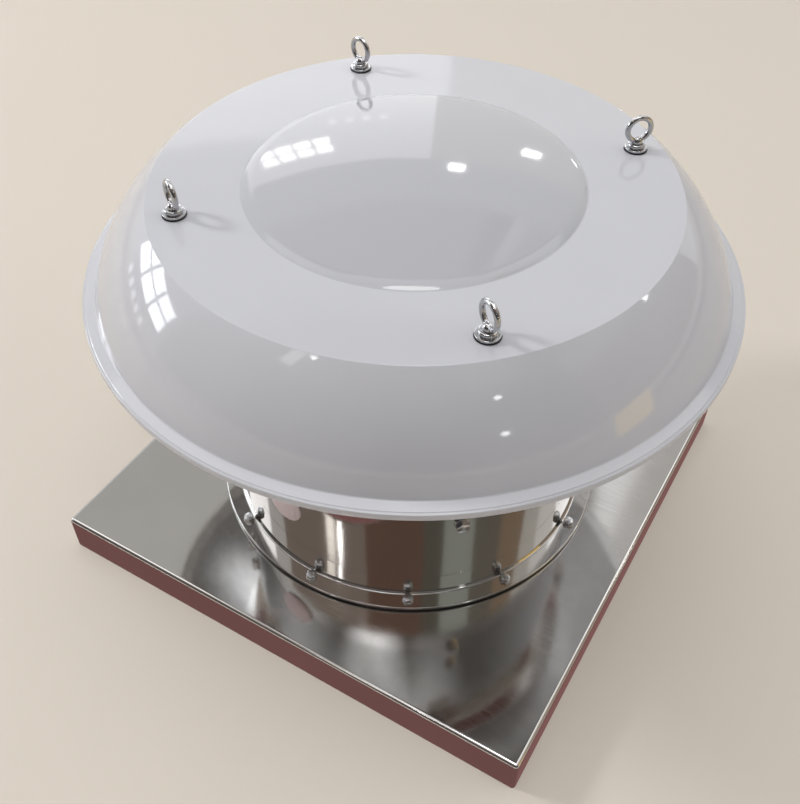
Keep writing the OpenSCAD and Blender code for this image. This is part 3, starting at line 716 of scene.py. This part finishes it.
class EXHAUST_FAN_OT_eye_bolts(bpy.types.Operator):
    """Four forged lifting eyes on their washers"""
    bl_idname = PREFIX + ".eye_bolts"
    bl_label = "Eye bolts"

    turns = (0, 28, -75, 12)         # how far each ring was left turned about its shank, degrees
    seal_t, washer_t = 1.5 * MM, 2 * MM
    seal_r, washer_r, hole_r = 11.5 * MM, 11 * MM, 5.1 * MM
    collar_r, collar_h = 8.5 * MM, 4 * MM
    shank_r, pitch = 5 * MM, 1.5 * MM
    boss_r, boss_h = 5.5 * MM, 5 * MM

    def forged_ring(self, seat, ring_z):
        """Ring and boss grown together with soft forging fillets."""
        s = sizes()
        bm = bmesh.new()
        major = s.eye_ring - s.eye_bar
        bar = [(major + s.eye_bar * cos(a), s.eye_bar * sin(a), 0)
               for a in (2 * pi * k / 20 for k in range(20))]
        lathe(bm, bar, 72, closed=True,
              place=Matrix.Translation((0, 0, ring_z)) @ Matrix.Rotation(pi / 2, 4, "X"))
        # boss: a stub with a domed top that the ring runs into
        low, high = seat + 1 * MM, seat + self.boss_h
        dome = [(self.boss_r * cos(a), high + self.boss_r * sin(a), 0)
                for a in (pi / 2 * k / 10 for k in range(10))]
        lathe(bm, [(0, low, 0), (self.boss_r, low, 0)] + dome + [(0, high + self.boss_r, 0)], 40)
        bmesh.ops.recalc_face_normals(bm, faces=bm.faces)
        blank = add_object("eye_blank", mesh_of(bm, "eye_blank"))
        grow = blank.modifiers.new("forge", "REMESH")
        grow.mode, grow.voxel_size = "VOXEL", 0.42 * MM
        soften = blank.modifiers.new("soften", "SMOOTH")
        soften.factor, soften.iterations = 0.5, 6
        evaluated = blank.evaluated_get(bpy.context.evaluated_depsgraph_get())
        grown = bpy.data.meshes.new_from_object(evaluated)
        bpy.data.objects.remove(blank)
        return grown

    def washers(self, name, wear, slot, node, outer, edge, layers):
        """Four washers in each layer, which is given by its foot and its top."""
        bm = bmesh.new()
        for angle in DIAGONALS:
            for low, high in layers:
                disc_ring(bm, outer, self.hole_r, low, high, at(angle, sizes().eye_circle), edge)
        put_on(bm, name, [wear], "housing", [node], weighted=False)

    def execute(self, context):
        s = sizes()
        crown = foot_of("hood") + LIP_TURN + s.hood_rise
        sealed = crown + self.seal_t
        seat = sealed + self.washer_t
        bm = bmesh.new()
        bm.from_mesh(self.forged_ring(seat, top_of("eye_bolts") - s.eye_ring))
        # collar with a turned edge, and the threaded shank under it
        top = seat + self.collar_h
        lathe(bm, fillet([(0, seat, 0, 0), (self.collar_r, seat, 0.7 * MM, 0),
                          (self.collar_r, top, 1.6 * MM, 0), (0, top + 0.2 * MM, 0, 0)]), 64)
        threaded_rod(bm, self.shank_r, foot_of("eye_bolts"), seat + 0.5 * MM, Matrix(), self.pitch)
        bmesh.ops.recalc_face_normals(bm, faces=bm.faces)
        mesh = mesh_of(bm, "eye_bolt")
        mesh.materials.append(finish("forging"))
        for i, (angle, turn) in enumerate(zip(DIAGONALS, self.turns)):
            piece = put_mesh_on(mesh, "eye_bolt_%d" % (i + 1), "housing",
                                ["eye_bolts"], sharp=50, weighted=False)
            piece.matrix_world = at(angle, s.eye_circle, 0, turn)

        under = foot_of("eye_washers")
        self.washers("eye_washer_set", "forging", "stainless_fastener", "eye_washers",
                     self.washer_r, 0.5 * MM, ((sealed, seat), (under, under + self.washer_t)))
        self.washers("sealing_washer_set", "rubber", "rubber", "sealing_washers",
                     self.seal_r, 0.6 * MM, ((crown, sealed),))
        return {"FINISHED"}


class EXHAUST_FAN_OT_cable_entry_plug(bpy.types.Operator):
    """Blanking plug in the wind tube's cable entry, its cap curved to lie on the wall"""
    bl_idname = PREFIX + ".cable_entry_plug"
    bl_label = "Cable entry plug"

    azimuth, height, rim_r, stem_r, depth = 260, 147 * MM, 22.5 * MM, 18.6 * MM, 6 * MM

    def execute(self, context):
        wall_r = sizes().tube_bore + sizes().tube_wall
        gap, rim = 0.2 * MM, 2.0 * MM
        # profile over the tube's face: a slightly domed middle, a shallow step, the rim, the stem
        corners = fillet([(0, 3.3 * MM, 0, 0), (15.5 * MM, 3.1 * MM, 1.2 * MM, 0),
                          (17 * MM, 2.5 * MM, 0.6 * MM, 0), (19.5 * MM, 2.6 * MM, 0.8 * MM, 0),
                          (self.rim_r, rim, 1.2 * MM, 0), (self.rim_r, gap, 0.1 * MM, 0),
                          (self.stem_r, gap, 0, 0), (self.stem_r, -self.depth, 0.6 * MM, 0),
                          (0, -self.depth, 0, 0)])
        # more points on the long runs, so that they can bend round the tube
        profile = []
        for a, b in zip(corners, corners[1:]):
            parts = max(1, int(abs(b[0] - a[0]) / (2 * MM)))
            profile += [(a[0] + (b[0] - a[0]) * k / parts, a[1] + (b[1] - a[1]) * k / parts, 0)
                        for k in range(parts)]
        bm = bmesh.new()
        lathe(bm, profile + [corners[-1]], 64)
        for v in bm.verts:
            # wrap the flat plug round the tube: its own Y runs round the wall
            bend, reach = v.co.y / wall_r, wall_r + v.co.z
            v.co = Vector((reach * cos(bend), reach * sin(bend), self.height - v.co.x))
        bmesh.ops.rotate(bm, verts=bm.verts, matrix=Matrix.Rotation(radians(self.azimuth), 3, "Z"))
        put_on(bm, "entry_plug", ["nylon"], "housing", ["cable_entry_plug"], sharp=60)
        return {"FINISHED"}


class EXHAUST_FAN_OT_frame_finishes(bpy.types.Operator):
    """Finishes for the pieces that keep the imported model's own shape"""
    bl_idname = PREFIX + ".frame_finishes"
    bl_label = "Motor and bracket finishes"

    worn_by = {
        "bracket": ("motor_plate", "bracket_arms", "hood_stays"),
        "fastener": ("flange_nuts", "bracket_nuts", "shield_screws", "motor_bolts", "lid_screws",
                     "stay_nuts", "eye_nuts", "retaining_washer", "retaining_bolt"),
        "enamel": ("lower_end_shield", "motor_frame", "upper_end_shield", "terminal_box",
                   "terminal_box_lid"),
        "electrical": ("stator_core", "rotor_core"),
        "copper": ("windings",),
        "polyamide": ("cable_gland",),
        "rubber": ("hood_pads",),
        "shaft": ("bearing_outer_rings", "shaft", "bearing_inner_rings", "impeller_key"),
        "aluminium": ("rotor_end_rings", "impeller_hub"),
        "blade": ("impeller_blades",),
    }

    def execute(self, context):
        for name, nodes in self.worn_by.items():
            for node in nodes:
                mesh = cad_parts[node].data
                mesh.materials.clear()
                mesh.materials.append(finish(name))
        return {"FINISHED"}


# -------- stage

class EXHAUST_FAN_OT_stage(bpy.types.Operator):
    """Pale floor, soft lamps, reflection cards and the camera"""
    bl_idname = PREFIX + ".stage"
    bl_label = "Stage"

    plain_share = 0.22                   # of the floor's tone that no shadow reaches
    # where the main lamps stand: azimuth, elevation, distance, size across, watts
    lamps = {"key": (196, 33, 5.0, 0.8, 92), "overhead": (130, 80, 5.5, 5.0, 112),
             "side": (30, 22, 5.0, 3.0, 34)}
    # light the deck throws up under the hood: azimuth, radius, watts, spread
    deck_bounce = ((-76, 0.290, 0.42, 26), (-119, 0.270, 0.13, 50), (-163, 0.240, 0.06, 20),
                   (-50, 0.250, 0.06, 30), (15, 0.245, 0.07, 60), (48, 0.300, 0.09, 60),
                   (125, 0.290, 0.06, 60))
    bounce_from, bounce_to = 0.06, 0.40  # heights of a bounce lamp and of the point it looks at
    # bulbs seen in the gloss: azimuth, elevation
    bulbs = ((113, 33), (104, 25), (94, 14), (-28, 37), (-30, 18), (41, 27), (-107, 52))

    def flat(self, name, points, faces, material):
        mesh = bpy.data.meshes.new(name)
        mesh.from_pydata(points, [], faces)
        mesh.materials.append(material)
        piece = add_object(name, mesh)
        return piece

    def square(self, name, reach, height, material):
        return self.flat(name, [(-reach, -reach, height), (reach, -reach, height),
                                (reach, reach, height), (-reach, reach, height)],
                         [(0, 1, 2, 3)], material)

    def glow(self, name, hex_colour, strength):
        material = bpy.data.materials.new(name)
        material.use_nodes = True
        material.node_tree.nodes.clear()
        light = add_node(material.node_tree, "ShaderNodeEmission",
                         {"Color": linear(hex_colour), "Strength": strength})
        add_node(material.node_tree, "ShaderNodeOutputMaterial", {"Surface": light.outputs["Emission"]})
        return material

    def only_in_reflections(self, piece):
        for ray in ("camera", "diffuse", "shadow", "transmission", "volume_scatter"):
            setattr(piece, "visible_" + ray, False)

    def direction(self, azimuth, elevation):
        level = cos(radians(elevation))
        return Vector((level * cos(radians(azimuth)), level * sin(radians(azimuth)),
                       sin(radians(elevation))))

    def card(self, name, azimuths, elevations, hex_colour, strength=1.0, panes=(1, 1), bar=0.0,
             distance=12.0):
        """A glowing piece of a sphere round the fan that only reflections see, angles in degrees.

        panes splits it like a window; bar is the share of each pane that its frame takes.
        """
        columns, rows = panes
        # strips at most 16 degrees wide, so that a long card follows the sphere
        steps = max(1, int((azimuths[1] - azimuths[0]) / columns / 8))
        points, faces = [], []
        for i in range(columns * steps):
            left = bar / 2 if i % steps == 0 else 0.0
            right = bar / 2 if i % steps == steps - 1 else 0.0
            for j in range(rows):
                first = len(points)
                for x, y in ((i + left, j + bar / 2), (i + 1 - right, j + bar / 2),
                             (i + 1 - right, j + 1 - bar / 2), (i + left, j + 1 - bar / 2)):
                    azimuth = azimuths[0] + (azimuths[1] - azimuths[0]) * x / (columns * steps)
                    elevation = elevations[0] + (elevations[1] - elevations[0]) * y / rows
                    points.append(self.direction(azimuth, elevation) * distance
                                  + Vector((0, 0, 0.3)))
                faces.append(tuple(range(first, first + 4)))
        piece = self.flat(name, points, faces, self.glow(name, hex_colour, strength))
        self.only_in_reflections(piece)

    def lamp(self, name, place, target, size, watts, spread=180):
        data = bpy.data.lights.new(name, "AREA")
        data.shape, data.size, data.energy, data.spread = "DISK", size, watts, radians(spread)
        lamp = add_object(name, data)
        lamp.location = place
        lamp.rotation_euler = (place - target).to_track_quat("Z", "Y").to_euler()
        lamp.visible_glossy = lamp.visible_camera = False

    def light(self):
        middle = Vector((0, 0, 0.25))
        for name, (azimuth, elevation, distance, size, watts) in self.lamps.items():
            self.lamp(name, self.direction(azimuth, elevation) * distance + middle, middle, size, watts)
        # small lamps just over the deck stand in for the light that its polish throws up
        for azimuth, radius, watts, spread in self.deck_bounce:
            out = self.direction(azimuth, 0) * radius
            self.lamp("bounce", out + Vector((0, 0, self.bounce_from)),
                      out + Vector((0, 0, self.bounce_to)), 0.05, watts, spread)

    def floor(self):
        base = tuple(colours().floor)
        paint = Surface("studio floor, painted", {"Roughness": 0.9, "Specular IOR Level": 0.1})
        paint.drive("Base Color",
                    paint.mix(paint.noise(1.2, 2.0), shade(base, 0.985), shade(base, 1.015)))
        # a share of plain tone, only to the camera, keeps the shadow pale
        plain = paint.node("ShaderNodeEmission", {"Color": base, "Strength": 1.0})
        path = paint.node("ShaderNodeLightPath")
        share = paint.maths("MULTIPLY", path.outputs["Is Camera Ray"], self.plain_share)
        lifted = blend(paint.tree, share, paint.shader.outputs["BSDF"], plain.outputs["Emission"])
        # seen from below it lets the camera through, so that the underside can be looked at
        through = paint.node("ShaderNodeBsdfTransparent")
        back = paint.node("ShaderNodeNewGeometry")
        paint.tree.links.new(
            blend(paint.tree, back.outputs["Backfacing"], lifted, through.outputs["BSDF"]),
            paint.output.inputs["Surface"])
        self.square("studio_floor", 9.0, 0, paint.material)

    def world(self):
        world = bpy.data.worlds.new("studio")
        bpy.context.scene.world = world
        world.use_nodes = True
        tree = world.node_tree
        tree.nodes.clear()
        fill = add_node(tree, "ShaderNodeBackground", {"Color": linear("#ffffff"), "Strength": 0.36})
        seen = add_node(tree, "ShaderNodeBackground", {"Color": tuple(colours().floor), "Strength": 1.0})
        path = add_node(tree, "ShaderNodeLightPath")
        looked_at = path.outputs["Is Camera Ray"]
        for ray in ("Is Glossy Ray", "Is Transmission Ray"):
            looked_at = add_node(tree, "ShaderNodeMath", {0: looked_at, 1: path.outputs[ray]},
                                 operation="MAXIMUM").outputs["Value"]
        add_node(tree, "ShaderNodeOutputWorld", {"Surface": blend(
            tree, looked_at, fill.outputs["Background"], seen.outputs["Background"])})

    # the workshop's walls and roof slopes: end azimuth of each stretch, colour, strength
    roof_slopes = ((-168, "#ffffff", 2.2), (-152, "#e8e4e0", 1.0), (-88, "#a3958b", 1.0),
                   (-50, "#83695b", 1.0), (-37, "#757267", 1.0), (-15, "#b7bcb3", 1.0),
                   (4, "#857f74", 1.0), (22, "#a5907a", 1.0), (37, "#e0dcd4", 1.0),
                   (58, "#fbf8f4", 1.1), (84, "#ffffff", 2.0), (98, "#cfcdca", 1.0),
                   (101, "#ffffff", 1.1), (106, "#8f8d8a", 1.0), (162, "#cbcac6", 1.0),
                   (180, "#ffffff", 2.2))
    upper_walls = ((-150, "#cfd2d6", 1.0), (-60, "#6e6c6c", 1.0), (0, "#6a6866", 1.0),
                   (60, "#cfc6ba", 1.2), (180, "#e4e6ea", 1.1))
    lower_walls = ((-150, "#cfd2d6", 1.0), (-60, "#4a4a4c", 1.0), (0, "#5e5e5c", 1.0),
                   (60, "#a2917f", 1.1), (117, "#f2f0ec", 1.3), (150, "#f6f6f8", 2.3),
                   (180, "#e4e6ea", 1.2))

    def wall(self, name, stretches, elevations):
        start = -180
        for i, (end, hex_colour, strength) in enumerate(stretches):
            self.card("%s_%d" % (name, i + 1), (start, end), elevations, hex_colour, strength)
            start = end

    def reflections(self):
        """What the gloss and the bright metal pick up: a workshop round the fan, in plain cards."""
        self.wall("roof_slope", self.roof_slopes, (42, 66))
        self.wall("upper_wall", self.upper_walls, (31, 42))
        self.wall("lower_wall", self.lower_walls, (2, 31))
        self.card("ceiling", (-180, 180), (66, 90), "#f4f4f6", 2.2)
        # dark red ground round the skirt, just over the floor
        self.only_in_reflections(self.square("reflected_ground", 0.345, 0.4 * MM,
                                             self.glow("reflected ground", "#865f5c", 1.0)))
        near = 11.0
        for name, azimuths, elevations, hex_colour, strength, panes, bar in (
                ("left_window", (177, 207), (8, 21), "#f4f8ff", 10.0, (3, 2), 0.14),
                ("left_window_low", (180, 200), (-1, 5), "#f4f8ff", 3.0, (5, 1), 0.5),
                ("back_window", (130, 140), (22.5, 27.5), "#ffffff", 8.0, (4, 2), 0.18),
                ("back_window_low", (122, 130), (16, 20), "#ffffff", 3.0, (4, 1), 0.6)):
            self.card(name, azimuths, elevations, hex_colour, strength, panes, bar, near)
        self.card("roof_window", (-117, -111), (43, 53.5), "#fffaf2", 2.8, distance=near)
        self.card("skylight", (-180, 180), (82, 90), "#ffffff", 9.0, distance=near)
        self.card("warm_wall", (1, 15), (-7, 4), "#f0cf7a", 2.2, distance=2.2)
        for i, (azimuth, elevation) in enumerate(self.bulbs):
            self.card("bulb_%d" % (i + 1), (azimuth - 1.2, azimuth + 1.2),
                      (elevation - 1.0, elevation + 1.0), "#ffffff", 16.0, distance=near - 1)

    def camera(self):
        data = bpy.data.cameras.new("camera")
        data.lens, data.sensor_width = 44.2, 36.0
        data.shift_x, data.shift_y = 0.01614, 0.00299
        camera = add_object("camera", data)
        camera.location = (0.39012, -0.69487, 0.96506)
        camera.rotation_euler = tuple(radians(a) for a in (43.8659, 0.1415, 31.0499))
        bpy.context.scene.camera = camera

    def execute(self, context):
        context.scene.view_settings.view_transform = "Standard"
        self.floor()
        self.world()
        self.light()
        self.reflections()
        self.camera()
        return {"FINISHED"}


PIECES = (EXHAUST_FAN_OT_curb_cap, EXHAUST_FAN_OT_wind_tube, EXHAUST_FAN_OT_hood,
          EXHAUST_FAN_OT_bolts, EXHAUST_FAN_OT_eye_bolts, EXHAUST_FAN_OT_cable_entry_plug,
          EXHAUST_FAN_OT_frame_finishes, EXHAUST_FAN_OT_stage)


class EXHAUST_FAN_PT_panel(bpy.types.Panel):
    """Sizes, colours and one button for each group of pieces"""
    bl_idname = "EXHAUST_FAN_PT_panel"
    bl_label = "Exhaust fan"
    bl_space_type = "VIEW_3D"
    bl_region_type = "UI"
    bl_category = "Exhaust Fan"

    def draw(self, context):
        for group in (context.scene.exhaust_fan_sizes, context.scene.exhaust_fan_colours):
            box = self.layout.box()
            for name in group.bl_rna.properties.keys():
                if name not in ("rna_type", "name"):
                    box.prop(group, name)
        for operator in PIECES:
            self.layout.operator(operator.bl_idname)


CLASSES = (ExhaustFanSizes, ExhaustFanColours) + PIECES + (EXHAUST_FAN_PT_panel,)


def register():
    for cls in CLASSES:
        bpy.utils.register_class(cls)
    bpy.types.Scene.exhaust_fan_sizes = PointerProperty(type=ExhaustFanSizes)
    bpy.types.Scene.exhaust_fan_colours = PointerProperty(type=ExhaustFanColours)


def unregister():
    del bpy.types.Scene.exhaust_fan_colours
    del bpy.types.Scene.exhaust_fan_sizes
    for cls in reversed(CLASSES):
        bpy.utils.unregister_class(cls)


def main():
    register()
    for operator in PIECES:
        getattr(bpy.ops.exhaust_fan, operator.bl_idname.split(".")[1])()


if __name__ == "__main__":
    main()
